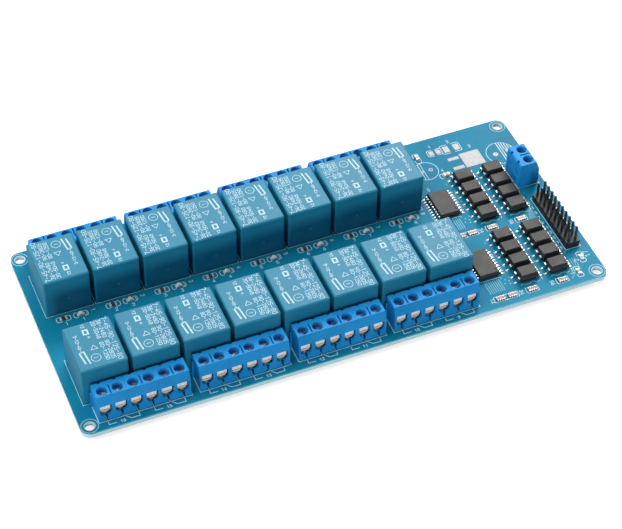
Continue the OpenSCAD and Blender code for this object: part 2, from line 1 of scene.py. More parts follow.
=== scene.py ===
import math
import bmesh
import bpy
import numpy as np
from mathutils import Matrix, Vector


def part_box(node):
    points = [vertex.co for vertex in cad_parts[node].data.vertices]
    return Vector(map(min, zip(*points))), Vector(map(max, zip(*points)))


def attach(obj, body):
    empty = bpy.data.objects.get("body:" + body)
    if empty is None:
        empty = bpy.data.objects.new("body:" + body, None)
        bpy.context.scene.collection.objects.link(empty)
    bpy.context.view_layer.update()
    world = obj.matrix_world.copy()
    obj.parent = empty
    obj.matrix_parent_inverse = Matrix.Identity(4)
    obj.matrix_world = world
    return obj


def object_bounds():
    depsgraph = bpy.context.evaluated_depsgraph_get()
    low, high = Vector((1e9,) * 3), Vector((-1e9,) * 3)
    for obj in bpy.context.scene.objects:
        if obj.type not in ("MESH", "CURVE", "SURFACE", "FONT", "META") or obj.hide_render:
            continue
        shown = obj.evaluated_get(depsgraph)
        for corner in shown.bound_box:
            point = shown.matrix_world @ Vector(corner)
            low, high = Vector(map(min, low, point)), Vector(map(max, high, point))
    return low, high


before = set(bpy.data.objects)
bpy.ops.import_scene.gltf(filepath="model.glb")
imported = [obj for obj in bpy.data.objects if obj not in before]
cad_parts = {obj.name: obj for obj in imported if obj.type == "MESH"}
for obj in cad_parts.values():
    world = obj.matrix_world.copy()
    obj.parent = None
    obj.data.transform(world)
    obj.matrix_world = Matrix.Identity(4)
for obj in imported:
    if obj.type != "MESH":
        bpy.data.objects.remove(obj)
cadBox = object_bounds()
mm = 0.001  # shapes are worked out in millimetres


def nodeBox(name):
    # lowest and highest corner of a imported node, in millimetres
    low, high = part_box(name)
    return np.array(low) / mm, np.array(high) / mm


# sizes that the places below are worked out with, in millimetres
chip = {"long": 2.0, "wide": 1.25}  # the small two-ended parts
pipProud = 0.12  # how far the moulding pip stands out of a relay's inner face
opto = {"half": (3.25, 2.3), "step": 6.1, "rows": 4}
array = {"half": 0.8, "pitch": 0.8, "across": (6.9, 11.25, 18.5, 29.6)}

# places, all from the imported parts
boardHigh = nodeBox("circuit_board")[1]
boardHalf, boardTop = boardHigh[:2], boardHigh[2]
relayBoxes = [nodeBox("relay_%02d" % n) for n in range(1, 17)]
blockBoxes = {
    1: [nodeBox("back_terminal_%d" % n) for n in range(1, 5)],
    -1: [nodeBox("front_terminal_%d" % n) for n in range(1, 5)],
}
powerBox = nodeBox("power_terminal")
headerBox = nodeBox("header_base")
driverBoxes = [nodeBox("driver_chip_back"), nodeBox("driver_chip_front")]
optoBoxes = [nodeBox("optocouplers_back"), nodeBox("optocouplers_front")]
arrayBox = nodeBox("resistor_array_ends")
resistorBox = nodeBox("chip_resistor_ends")
lampBox = nodeBox("lamp_ends")
capacitorBox = nodeBox("chip_capacitor_ends")

relayLow, relayHigh = relayBoxes[0]
pipEnd, relayTop = relayLow[1], relayHigh[2]
aisleHalf = pipEnd + pipProud  # inner face of a relay, without its pip
relaySize = np.array([relayHigh[0] - relayLow[0], relayHigh[1] - aisleHalf])
relayX = [(low[0] + high[0]) / 2 for low, high in relayBoxes]
relayY = aisleHalf + relaySize[1] / 2
relaySides = [1] * 8 + [-1] * 8  # back row, then front row
channelY = lampBox[1][1] - chip["wide"] / 2
controlX = relayBoxes[7][1][0]  # end of the last relay, where the control end starts
drivers = [(low + high)[:2] / 2 for low, high in driverBoxes]
optoColumns = [optoBoxes[0][0][0] + opto["half"][0], optoBoxes[0][1][0] - opto["half"][0]]
optoFirst = [high[1] - opto["half"][1] for low, high in optoBoxes]
optoPlaces = [(x, y - row * opto["step"])
              for y in optoFirst for x in optoColumns for row in range(opto["rows"])]
arrayY = [arrayBox[1][1] - array["half"], arrayBox[0][1] + array["half"]]
arrayX = [controlX + across for across in array["across"]]
powerLamp = (lampBox[1][0] - chip["wide"] / 2, lampBox[0][1] + chip["long"] / 2)
powerResistor = (resistorBox[1][0] - chip["wide"] / 2, resistorBox[0][1] + chip["long"] / 2)
capacitorAlong = (capacitorBox[0][0] + chip["wide"] / 2, capacitorBox[1][1] - chip["long"] / 2)
capacitorAcross = (capacitorBox[1][0] - chip["long"] / 2, capacitorBox[0][1] + chip["wide"] / 2)
print("places read")


def addPiece(name, points, faces, merge=False):
    # points in millimetres and lists of corner numbers become a piece that rides on the board
    mesh = bpy.data.meshes.new(name)
    mesh.from_pydata((np.asarray(points, float) * mm).tolist(), [], faces)
    if merge:
        near = 1e-7  # metres
        work = bmesh.new()
        work.from_mesh(mesh)
        bmesh.ops.remove_doubles(work, verts=work.verts, dist=near)
        bmesh.ops.dissolve_degenerate(work, edges=work.edges, dist=near)
        bmesh.ops.recalc_face_normals(work, faces=work.faces)
        work.to_mesh(mesh)
        work.free()
    mesh.update()
    piece = bpy.data.objects.new(name, mesh)
    bpy.context.scene.collection.objects.link(piece)
    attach(piece, "root")
    return piece


def prismPiece(name, outlines, low, high, upright=False):
    # point = corner, low + (high - low) * t, with t = 0 at the foot and 1 at the top;
    # an upright prism is turned about the x axis, (x, y, z) -> (x, -z, y)
    outlines = np.asarray(outlines, float)
    count, corners = outlines.shape[:2]
    t = np.array([0.0, 1.0])[None, :, None, None]
    flat = np.broadcast_to(outlines[:, None], (count, 2, corners, 2))
    level = np.broadcast_to(low + (high - low) * t, (count, 2, corners, 1))
    here = np.arange(corners)[None, :]
    there = (here + 1) % corners
    first = (np.arange(count) * 2 * corners)[:, None]
    sides = [first + here, first + there, first + corners + there, first + corners + here]
    faces = np.stack(sides, 2).reshape(-1, 4).tolist()
    faces += (first + corners + here).tolist() + (first + here[:, ::-1]).tolist()
    points = np.concatenate([flat, level], 3).reshape(-1, 3)
    if upright:
        points = points[:, [0, 2, 1]] * [1, -1, 1]
    return addPiece(name, points, faces)


def ribbonPiece(name, lines, width, low, high):
    # a flat ribbon along each line: every point moves half the width to either side, along the
    # mitre of the two runs that meet there, and the strip between is carried up from low to high
    points, faces, first = [], [], 0
    for line in lines:
        line = np.asarray(line, float)
        closed = len(line) > 3 and np.allclose(line[0], line[-1])
        if closed:
            line = line[:-1]
        runs = np.roll(line, -1, axis=0) - line
        runs /= np.maximum(np.linalg.norm(runs, axis=1, keepdims=True), 1e-9)
        before = np.roll(runs, 1, axis=0)
        if not closed:
            before[0], runs[-1] = runs[0], runs[-2]
        normal = np.stack([-runs[:, 1] - before[:, 1], runs[:, 0] + before[:, 0]], 1)
        square = np.maximum((normal ** 2).sum(1, keepdims=True), 0.8)  # keeps a sharp mitre short
        offset = normal / square * width
        left, right = line + offset, line - offset
        if not closed:  # square ends, half a width longer
            for side in (left, right):
                side[0] -= runs[0] * width / 2
                side[-1] += runs[-1] * width / 2
        count = len(line)
        foot, top = np.full(count, low), np.full(count, high)
        points += [np.column_stack([left, foot]), np.column_stack([right, foot]),
                   np.column_stack([right, top]), np.column_stack([left, top])]
        here = np.arange(count if closed else count - 1)
        there = (here + 1) % count
        for a, b in ((0, 1), (1, 2), (2, 3), (3, 0)):
            quad = [here + a * count, here + b * count, there + b * count, there + a * count]
            faces += (np.stack(quad, 1)[:, ::-1] + first).tolist()
        if not closed:
            ends = np.arange(4) * count + first
            faces += [ends[::-1].tolist(), (ends + count - 1).tolist()]
        first += 4 * count
    return addPiece(name, np.concatenate(points), faces)


def turnedPiece(name, places, profile, steps):
    # point = place + radius * (cos a, sin a), height: a closed profile of radius and height is
    # turned about the upright line through each place
    places, profile = np.asarray(places, float), np.asarray(profile, float)
    angle = np.arange(steps) / steps * 2 * math.pi
    turn = np.stack([np.cos(angle), np.sin(angle)], 1)
    flat = places[:, None, None, :2] + profile[None, None, :, :1] * turn[None, :, None, :]
    level = np.broadcast_to(profile[None, None, :, 1:], flat.shape[:3] + (1,))
    index = np.arange(flat[..., 0].size).reshape(flat.shape[:3])
    around, up = np.roll(index, -1, axis=1), np.roll(index, -1, axis=2)
    faces = np.stack([index, around, np.roll(around, -1, axis=2), up], 3).reshape(-1, 4)
    points = np.concatenate([flat, level], 3).reshape(-1, 3)
    return addPiece(name, points, faces.tolist(), merge=True)


def rectangles(places, size):
    # corner = place + half the size * (-1 or 1, -1 or 1)
    half = np.array([[-1, -1], [1, -1], [1, 1], [-1, 1]]) * np.asarray(size, float) / 2
    return np.asarray(places, float)[:, None, :2] + half[None]


def spotsAt(places, radius, corners=10):
    # corner = place + radius * (cos a, sin a)
    angle = np.arange(corners) / corners * 2 * math.pi
    turn = np.stack([np.cos(angle), np.sin(angle)], 1)
    return np.asarray(places, float)[:, None, :2] + radius * turn[None]


def boxLine(x0, y0, x1, y1):
    return [(x0, y0), (x1, y0), (x1, y1), (x0, y1), (x0, y0)]


def arc(x, y, radius, start=0, stop=360, steps=40):
    # point = middle + radius * (cos a, sin a), with a from start to stop in degrees
    angle = np.radians(np.linspace(start, stop, steps + 1))
    return np.column_stack([x + radius * np.cos(angle), y + radius * np.sin(angle)])


def bracketPair(x, y, half, tall, gap, upright=False):
    # two brackets with cut corners that face each other across a gap
    cut = 0.4
    side = [(gap, tall), (half - cut, tall), (half, tall - cut),
            (half, cut - tall), (half - cut, -tall), (gap, -tall)]
    pair = [np.array(side) * [s, 1] for s in (-1, 1)]
    return [(b[:, ::-1] if upright else b) + [x, y] for b in pair]


digitStrokes = {  # in a box 1 wide and 1.6 high
    "0": [[(0.3, 0), (0, 0.3), (0, 1.3), (0.3, 1.6), (0.7, 1.6), (1, 1.3), (1, 0.3), (0.7, 0),
           (0.3, 0)]],
    "1": [[(0.2, 1.25), (0.6, 1.6), (0.6, 0)]],
    "2": [[(0, 1.3), (0.3, 1.6), (0.7, 1.6), (1, 1.3), (1, 1), (0, 0), (1, 0)]],
    "3": [[(0, 1.6), (1, 1.6), (0.5, 0.95), (1, 0.65), (1, 0.3), (0.7, 0), (0.3, 0), (0, 0.25)]],
    "4": [[(0.75, 0), (0.75, 1.6), (0, 0.5), (1, 0.5)]],
    "5": [[(1, 1.6), (0.1, 1.6), (0, 0.9), (0.7, 0.95), (1, 0.7), (1, 0.3), (0.7, 0), (0, 0.1)]],
    "6": [[(0.9, 1.6), (0.3, 1.4), (0, 0.8), (0, 0.3), (0.3, 0), (0.7, 0), (1, 0.3), (1, 0.6),
           (0.7, 0.9), (0.1, 0.75)]],
    "7": [[(0, 1.6), (1, 1.6), (0.4, 0)]],
    "8": [[(0.3, 0.85), (0, 0.6), (0, 0.3), (0.3, 0), (0.7, 0), (1, 0.3), (1, 0.6), (0.7, 0.85),
           (0.3, 0.85)],
          [(0.3, 0.85), (0.1, 1.1), (0.1, 1.4), (0.35, 1.6), (0.65, 1.6), (0.9, 1.4), (0.9, 1.1),
           (0.7, 0.85)]],
    "9": [[(0.1, 0), (0.7, 0.2), (1, 0.8), (1, 1.3), (0.7, 1.6), (0.3, 1.6), (0, 1.3), (0, 1),
           (0.3, 0.7), (0.9, 0.85)]],
    "-": [[(0.1, 0.8), (0.9, 0.8)]],
}
digit = {"tall": 1.6, "step": 1.45, "gap": 0.45}


def numberLines(text, x, y, height, turn=0):
    # a number centred on a place and turned anticlockwise by degrees
    c, s = math.cos(math.radians(turn)), math.sin(math.radians(turn))
    spin = np.array([[c, s], [-s, c]]) * height / digit["tall"]
    start = -(len(text) * digit["step"] - digit["gap"]) / 2
    return [
        (np.array(stroke) + [start + place * digit["step"], -digit["tall"] / 2]) @ spin + [x, y]
        for place, sign in enumerate(text) for stroke in digitStrokes[sign]
    ]


def startFinish(name):
    finish = bpy.data.materials.new(name)
    finish.use_nodes = True
    tree = finish.node_tree
    shader = next(n for n in tree.nodes if n.type == "BSDF_PRINCIPLED")
    place = tree.nodes.new("ShaderNodeTexCoord").outputs["Object"]
    return finish, tree, shader, place


def mathNode(tree, operation, *values):
    # one sum, each of its values a socket or a number
    node = tree.nodes.new("ShaderNodeMath")
    node.operation = operation
    for socket, value in zip(node.inputs, values):
        if isinstance(value, bpy.types.NodeSocket):
            tree.links.new(value, socket)
        else:
            socket.default_value = value
    return node.outputs[0]


def heightOf(tree, place):
    apart = tree.nodes.new("ShaderNodeSeparateXYZ")
    tree.links.new(place, apart.inputs["Vector"])
    return apart.outputs["Z"]


def cloudsOn(tree, place, scale, detail=3.0, stretch=(1, 1, 1)):
    # cloudy pattern in the object's own space, scale in patches to a metre
    mapping = tree.nodes.new("ShaderNodeMapping")
    mapping.inputs["Scale"].default_value = stretch
    tree.links.new(place, mapping.inputs["Vector"])
    noise = tree.nodes.new("ShaderNodeTexNoise")
    noise.inputs["Scale"].default_value = scale
    noise.inputs["Detail"].default_value = detail
    tree.links.new(mapping.outputs["Vector"], noise.inputs["Vector"])
    return noise.outputs["Fac"]


def spread(tree, value, low, high, start=0.3, stop=0.7):
    # start to stop, where most of a cloudy pattern lies, becomes low to high
    span = tree.nodes.new("ShaderNodeMapRange")
    ends = {"From Min": start, "From Max": stop, "To Min": low, "To Max": high}
    for name, number in ends.items():
        span.inputs[name].default_value = number
    tree.links.new(value, span.inputs["Value"])
    return span.outputs["Result"]


def blendColours(tree, share, first, second):
    # first where the share is 0 and second where it is 1, each a colour or a socket
    mix = tree.nodes.new("ShaderNodeMix")
    mix.data_type = "RGBA"
    tree.links.new(share, mix.inputs["Factor"])
    for socket, colour in ((mix.inputs[6], first), (mix.inputs[7], second)):
        if isinstance(colour, tuple):
            socket.default_value = (*colour, 1)
        else:
            tree.links.new(colour, socket)
    return mix.outputs[2]


def bumpOn(tree, shader, height, depth):
    bump = tree.nodes.new("ShaderNodeBump")
    bump.inputs["Distance"].default_value = depth
    bump.inputs["Strength"].default_value = 1.0
    tree.links.new(height, bump.inputs["Height"])
    tree.links.new(bump.outputs["Normal"], shader.inputs["Normal"])


def foldedColour(tree, place, colour, seamAndShadowLine):
    # a level line of its own colour, and a lip of another colour below it; on the clamp contacts
    # the line is painted shadow for the gap under the tongue, and on the optocouplers it is their
    # lighter seam
    height = heightOf(tree, place)
    for operation, shade in (("LESS_THAN", seamAndShadowLine.get("lip")), ("COMPARE", seamAndShadowLine["shade"])):
        if shade:
            part = mathNode(tree, operation, height, seamAndShadowLine["level"] * mm, seamAndShadowLine["line"] / 2 * mm)
            colour = blendColours(tree, part, colour, shade)
    return colour


def makeFinish(name, look):
    # a cloudy colour between two shades, cloudy roughness and a fine grain
    finish, tree, shader, place = startFinish(name)
    clouds = cloudsOn(tree, place, look["clouds"])
    grain = cloudsOn(tree, place, look["grain"], 2.0, look.get("stretch", (1, 1, 1)))
    colour = blendColours(tree, spread(tree, clouds, 0, 1), look["dark"], look["light"])
    if "seamAndShadowLine" in look:
        colour = foldedColour(tree, place, colour, look["seamAndShadowLine"])
    tree.links.new(colour, shader.inputs["Base Color"])
    tree.links.new(spread(tree, clouds, *look["rough"]), shader.inputs["Roughness"])
    shader.inputs["Metallic"].default_value = look.get("metal", 0.0)
    shader.inputs["Specular IOR Level"].default_value = look.get("gloss", 0.5)
    shader.inputs["Coat Weight"].default_value = look.get("coat", 0.0)
    shader.inputs["Coat Roughness"].default_value = 0.1
    bumpOn(tree, shader, grain, look["depth"])
    return finish


plateTop = nodeBox("clamp_contacts_front")[1][2]
looks = {  # two shades, roughness range, patches to a metre of clouds and grain, depth of the grain
    "relayCase": {"dark": (0.008, 0.176, 0.290), "light": (0.012, 0.202, 0.328),
                  "rough": (0.42, 0.50), "clouds": 60, "grain": 5200, "depth": 8e-6, "gloss": 0.35},
    "terminalPlastic": {"dark": (0.009, 0.245, 0.60), "light": (0.016, 0.295, 0.70),
                        "rough": (0.36, 0.46), "clouds": 90, "grain": 4200, "depth": 8e-6,
                        "gloss": 0.12},
    "chipEpoxy": {"dark": (0.009, 0.008, 0.007), "light": (0.017, 0.015, 0.013),
                  "rough": (0.50, 0.60), "clouds": 300, "grain": 9000, "depth": 1e-5,
                  "gloss": 0.42},
    "headerPlastic": {"dark": (0.006, 0.007, 0.008), "light": (0.012, 0.013, 0.014),
                      "rough": (0.45, 0.55), "clouds": 260, "grain": 7000, "depth": 8e-6,
                      "gloss": 0.35},
    # painted shade: the pins get a dark metal colour, standing for the dark surroundings that the
    # real gold and nickel pins reflect
    "headerPin": {"dark": (0.10, 0.10, 0.10), "light": (0.20, 0.19, 0.18), "rough": (0.25, 0.40),
                  "metal": 1.0, "clouds": 700, "grain": 6000, "depth": 3e-6},
    "tinPlate": {"dark": (0.58, 0.58, 0.59), "light": (0.90, 0.90, 0.91), "rough": (0.20, 0.32),
                 "metal": 1.0, "clouds": 900, "grain": 7000, "depth": 3e-6},
    "leadTin": {"dark": (0.26, 0.26, 0.28), "light": (0.52, 0.52, 0.54), "rough": (0.24, 0.36),
                "metal": 1.0, "clouds": 900, "grain": 7000, "depth": 3e-6},
    "arrayTin": {"dark": (0.36, 0.35, 0.35), "light": (0.54, 0.53, 0.52), "rough": (0.34, 0.46),
                 "metal": 0.6, "clouds": 900, "grain": 7000, "depth": 3e-6},
    "optoTin": {"dark": (0.24, 0.24, 0.25), "light": (0.50, 0.50, 0.51), "rough": (0.24, 0.36),
                "metal": 0.85, "clouds": 900, "grain": 7000, "depth": 3e-6},
    "nickelCage": {"dark": (0.80, 0.78, 0.75), "light": (0.96, 0.94, 0.91), "rough": (0.34, 0.48),
                   "metal": 0.8, "clouds": 500, "grain": 5000, "depth": 3e-6, "stretch": (1, 1, 6)},
    # painted shadow: the dark brown line two millimetres under the top of the contacts stands for
    # the shadow of the gap under the tongue; below it the lip takes the cream colour of the cage's
    # bottom bar
    "brassContact": {"dark": (0.97, 0.93, 0.88), "light": (1.0, 0.99, 0.97), "rough": (0.50, 0.64),
                     "metal": 0.1, "clouds": 700, "grain": 5000, "depth": 4e-6,
                     "seamAndShadowLine": {"level": plateTop - 2.0, "line": 0.22, "shade": (0.20, 0.11, 0.05),
                              "lip": (0.80, 0.68, 0.48)}},
    "zincScrew": {"dark": (0.30, 0.26, 0.25), "light": (0.85, 0.80, 0.78), "rough": (0.16, 0.30),
                  "metal": 1.0, "clouds": 800, "grain": 6000, "depth": 5e-6},
    "solderTin": {"dark": (0.60, 0.61, 0.63), "light": (0.80, 0.81, 0.82), "rough": (0.18, 0.34),
                  "metal": 1.0, "clouds": 1200, "grain": 5000, "depth": 1e-5},
    "chipTin": {"dark": (0.62, 0.62, 0.62), "light": (0.82, 0.82, 0.81), "rough": (0.34, 0.46),
                "metal": 0.4, "clouds": 900, "grain": 7000, "depth": 3e-6},
    # painted highlight: lighter than the relay case, for the light caught by the moulding pips
    "pipPaintedHighlight": {"dark": (0.07, 0.25, 0.36), "light": (0.12, 0.33, 0.45), "rough": (0.30, 0.40),
                 "clouds": 900, "grain": 7000, "depth": 3e-6, "gloss": 0.5},
    "padTin": {"dark": (0.48, 0.475, 0.48), "light": (0.60, 0.59, 0.60), "rough": (0.42, 0.55),
               "clouds": 700, "grain": 4000, "depth": 1e-5, "gloss": 0.3},
    "resistorGlaze": {"dark": (0.055, 0.024, 0.020), "light": (0.090, 0.040, 0.030),
                      "rough": (0.30, 0.42), "clouds": 900, "grain": 9000, "depth": 4e-6,
                      "coat": 0.3},
    "lampBase": {"dark": (0.60, 0.61, 0.54), "light": (0.76, 0.76, 0.66), "rough": (0.35, 0.45),
                 "clouds": 800, "grain": 7000, "depth": 4e-6},
    "lampLens": {"dark": (0.80, 0.80, 0.70), "light": (0.92, 0.92, 0.84), "rough": (0.12, 0.22),
                 "clouds": 900, "grain": 7000, "depth": 3e-6, "coat": 0.5},
    "capacitorClay": {"dark": (0.36, 0.27, 0.18), "light": (0.50, 0.39, 0.27),
                      "rough": (0.40, 0.52), "clouds": 900, "grain": 8000, "depth": 6e-6},
    "silkInk": {"dark": (0.50, 0.72, 0.78), "light": (0.68, 0.86, 0.90), "rough": (0.50, 0.65),
                "clouds": 1500, "grain": 9000, "depth": 4e-6},
    "relayInk": {"dark": (0.35, 0.55, 0.65), "light": (0.54, 0.74, 0.81), "rough": (0.45, 0.60),
                 "clouds": 1500, "grain": 9000, "depth": 3e-6},
    "tracedMask": {"dark": (0.110, 0.420, 0.520), "light": (0.160, 0.500, 0.600),
                   "rough": (0.32, 0.42), "clouds": 160, "grain": 3500, "depth": 4e-6,
                   "gloss": 0.3},
}
optoFold = {"level": boardTop + 1.75, "line": 0.13, "shade": (0.12, 0.115, 0.11)}
looks["optoEpoxy"] = dict(looks["chipEpoxy"], seamAndShadowLine=optoFold)
finishes = {name: makeFinish(name, look) for name, look in looks.items()}
boardLook = {
    "dark": (0.004, 0.185, 0.310), "light": (0.007, 0.235, 0.385),  # solder mask
    "edgeDark": (0.48, 0.78, 0.86), "edgeLight": (0.63, 0.92, 0.98),  # cut edge of the sheet
    "rough": (0.24, 0.32), "edgeRough": 0.3, "skin": 0.05, "gloss": 0.05,
    "clouds": 45, "layers": 700, "stretch": (0.15, 0.15, 9), "grain": 900, "depth": 6e-6,
}


def makeBoardFinish(look):
    # solder mask on both faces, and pale layered glass-epoxy on the cut edges between them
    finish, tree, shader, place = startFinish("boardMask")
    inside = mathNode(tree, "COMPARE", heightOf(tree, place), boardTop / 2 * mm,
                      (boardTop / 2 - look["skin"]) * mm)
    clouds = cloudsOn(tree, place, look["clouds"])
    layers = cloudsOn(tree, place, look["layers"], 2.0, look["stretch"])
    mask = blendColours(tree, spread(tree, clouds, 0, 1), look["dark"], look["light"])
    edge = blendColours(tree, spread(tree, layers, 0, 1), look["edgeDark"], look["edgeLight"])
    tree.links.new(blendColours(tree, inside, mask, edge), shader.inputs["Base Color"])
    rough = spread(tree, clouds, *look["rough"])
    rough = mathNode(tree, "MULTIPLY_ADD", inside, look["edgeRough"], rough)
    tree.links.new(rough, shader.inputs["Roughness"])
    shader.inputs["Specular IOR Level"].default_value = look["gloss"]
    bumpOn(tree, shader, cloudsOn(tree, place, look["grain"], 2.0), look["depth"])
    return finish


finishes["boardMask"] = makeBoardFinish(boardLook)
nodeFinishes = {  # how each node's name starts, and its finish
    "circuit_board": "boardMask", "relay_pins": "tinPlate", "relay_": "relayCase",
    "back_terminal": "terminalPlastic", "front_terminal": "terminalPlastic",
    "power_terminal": "terminalPlastic", "clamp_cages": "nickelCage",
    "clamp_contacts": "brassContact", "clamp_screws": "zincScrew",
    "header_base": "headerPlastic", "header_pins": "headerPin",
    "driver_chip": "chipEpoxy", "driver_leads": "leadTin",
    "optocouplers": "optoEpoxy", "opto_leads": "optoTin",
    "resistor_arrays": "resistorGlaze", "resistor_array_ends": "arrayTin",
    "chip_resistors": "resistorGlaze", "chip_resistor_ends": "chipTin",
    "lamp_bases": "lampBase", "lamp_ends": "chipTin", "lamp_lenses": "lampLens",
    "chip_capacitors": "capacitorClay", "chip_capacitor_ends": "chipTin",
    "solder_joints": "solderTin",
}
for name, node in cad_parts.items():
    start = next(key for key in nodeFinishes if name.startswith(key))
    node.data.materials.clear()
    node.data.materials.append(finishes[nodeFinishes[start]])


def finishPiece(piece, finish):
    # printed ink has no slot of its own in the record
    piece.data.materials.append(finishes[finish])


print("finishes made")

# white print on the board: widths of its lines, how far they stand out, and height of a number
silk = {"line": 0.2, "outline": 0.13, "hatch": 0.3, "thin": 0.17, "rise": 0.02, "sink": 0.01,
        "number": 1.2}
bracket = (2.35, 1.05)  # half width and half height round a small two-ended part
lines, outlines, numbers = [], [], []

mountHole = {"inset": (3.05, 3.3), "print": 2.7, "inner": 1.61, "outer": 1.88}  # printed, bare ring
holeX, holeY = boardHalf - mountHole["inset"]
holePlaces = [(sx * holeX, sy * holeY) for sx in (-1, 1) for sy in (-1, 1)]
outlines += [arc(x, y, mountHole["print"], steps=48) for x, y in holePlaces]

relayMarks = {"edge": 0.28, "numberAcross": {1: 7.2, -1: -5.5}, "numberAlong": 7.6,
              "resistor": -2.9, "lamp": 2.9, "resistorGap": 0.7, "lampGap": 1.2,
              "shift": 0.4, "below": 2.25, "bar": 4.8}
for n, (x, side) in enumerate(zip(relayX, relaySides)):
    # relay outline, channel number, and the brackets of the channel's resistor and lamp
    edge = relayMarks["edge"]
    outlines.append(boxLine(
        x - relaySize[0] / 2 - edge, side * relayY - relaySize[1] / 2 - edge,
        x + relaySize[0] / 2 + edge, side * relayY + relaySize[1] / 2 + edge))
    text = str(n + 1 if side == 1 else 24 - n)  # the front row counts back from 16
    numbers += numberLines(text, x + relayMarks["numberAcross"][side],
                           side * relayMarks["numberAlong"], silk["number"], -90 * side)
    for part in ("resistor", "lamp"):
        partX, partY = x + side * relayMarks[part], side * channelY
        lines += bracketPair(partX, partY, *bracket, relayMarks[part + "Gap"])
        numbers += numberLines(text, partX + relayMarks["shift"],
                               partY - relayMarks["below"] * side, silk["number"])
    barX = x + side * relayMarks["bar"]
    lines.append([(barX, side * channelY + bracket[1]), (barX, side * channelY - bracket[1])])

# sign of one changeover contact, over three wire ways: the fixed contact leaves the first, and
# the moving arm joins the second and the third
contactSign = ([(0, -1.6), (0, 2.0), (2.4, 2.0)],
               [(5, -1.6), (5.2, 0), (7.2, 2.0), (10, 2.0), (10, -1.3)])
blockMarks = {"edge": 0.27, "front": 0.4, "firstWay": 2.48, "wayStep": 5, "number": 1.0,
              "numberAcross": 4.5, "numberOut": 1.95}
for side, boxes in blockBoxes.items():  # terminal outlines, contact signs and channel numbers
    for k in range(4):
        left, right = blockBoxes[1][k][0][0], blockBoxes[-1][k][1][0]
        back, face = (boxes[k][0][1], boxes[k][1][1])[::side]
        edge = blockMarks["edge"]
        near, far = sorted((back - side * edge, face + side * blockMarks["front"]))
        lines.append(boxLine(left - edge, near, right + edge, far))
        for half in (0, 1):
            start = left + blockMarks["firstWay"] + 3 * blockMarks["wayStep"] * half
            if side == 1:  # the back row's signs sit two ways further along
                start += 2 * blockMarks["wayStep"]
            lines += [np.array(line) * [1, side] + [start, face] for line in contactSign]
            channel = 2 * k + half + 1
            numbers += numberLines(str(channel if side == 1 else 17 - channel),
                                   start - side * blockMarks["numberAcross"],
                                   face + side * blockMarks["numberOut"], blockMarks["number"])

optoMarks = {"across": 4.5, "back": 0.2, "front": 0.6,
             "waveHalf": 3.4, "waveOut": 0.1, "waveTall": 0.3, "waveTurn": 1.8}
arrayMarks = {"brackets": (2.15, 1.25, 1.75), "numbers": ((4.1, "12"), (14.6, "34"), (25.9, "56"))}
driverMarks = {"half": 3.6, "end": 6.3, "notch": 0.9, "number": (-5.4, 7.4)}
for half in (0, 1):  # optocouplers, resistor arrays and driver of each half
    low, high = optoBoxes[half]
    frontY = low[1] - optoMarks["front"]
    wave = np.linspace(-optoMarks["waveHalf"], optoMarks["waveHalf"], 36)
    ripple = optoMarks["waveTall"] * np.sin(wave * optoMarks["waveTurn"])
    for x in optoColumns:
        lineX = x + optoMarks["across"]
        lines.append([(lineX, high[1] + optoMarks["back"]), (lineX, frontY)])
        outlines.append(np.column_stack([x + wave, frontY - optoMarks["waveOut"] + ripple]))
    for x in arrayX:
        lines += bracketPair(x, arrayY[half], *arrayMarks["brackets"])
    for across, text in arrayMarks["numbers"]:
        numbers += numberLines(text, controlX + across, arrayY[half], silk["number"], -90)
    x, y = drivers[half]
    left, right, notch = x - driverMarks["half"], x + driverMarks["half"], driverMarks["notch"]
    front, back = y - driverMarks["end"], y + driverMarks["end"]
    lines += [[(left, front), (x, front)], [(x, front), (right, front)],
              [(left, back), (x - notch, back)], arc(x, back, notch, 180, 360, 14),
              [(x + notch, back), (right, back)]]
    numbers += numberLines(str(half + 1), x + driverMarks["number"][0],
                           y + driverMarks["number"][1], silk["number"])

header = {"pitch": 2.54, "rows": 10, "edge": 0.25, "number": 1.05, "numberOut": 1.35}
hx0, hy0 = headerBox[0][:2] - header["edge"]  # header and its odd pin numbers
hx1, hy1 = headerBox[1][:2] + header["edge"]
lines.append(boxLine(hx0, hy0, hx1, hy1))
for row in range(header["rows"]):
    numbers += numberLines(str(2 * row + 1), hx0 - header["numberOut"],
                           headerBox[1][1] - header["pitch"] / 2 - row * header["pitch"],
                           header["number"])

power = {"edge": 0.35, "front": 0.05, "gap": 0.8}  # power terminal, its lamp and resistor
powerNumbers = (  # number, what it stands by, place from there across and along, and height
    ("1", powerResistor, -2.2, 0, 1.2), ("17", powerLamp, 2.3, 0.6, 1.7),
    ("2", powerLamp, -2.2, -0.8, 1.5),
)
lines.append(boxLine(powerBox[0][0] - power["edge"], powerBox[0][1] + power["front"],
                     powerBox[1][0] + power["edge"], powerBox[1][1] + power["edge"]))
for x, y in (powerLamp, powerResistor):
    lines += bracketPair(x, y, *bracket, power["gap"], upright=True)
for text, (x, y), across, along, tall in powerNumbers:
    numbers += numberLines(text, x + across, y + along, tall, 90)

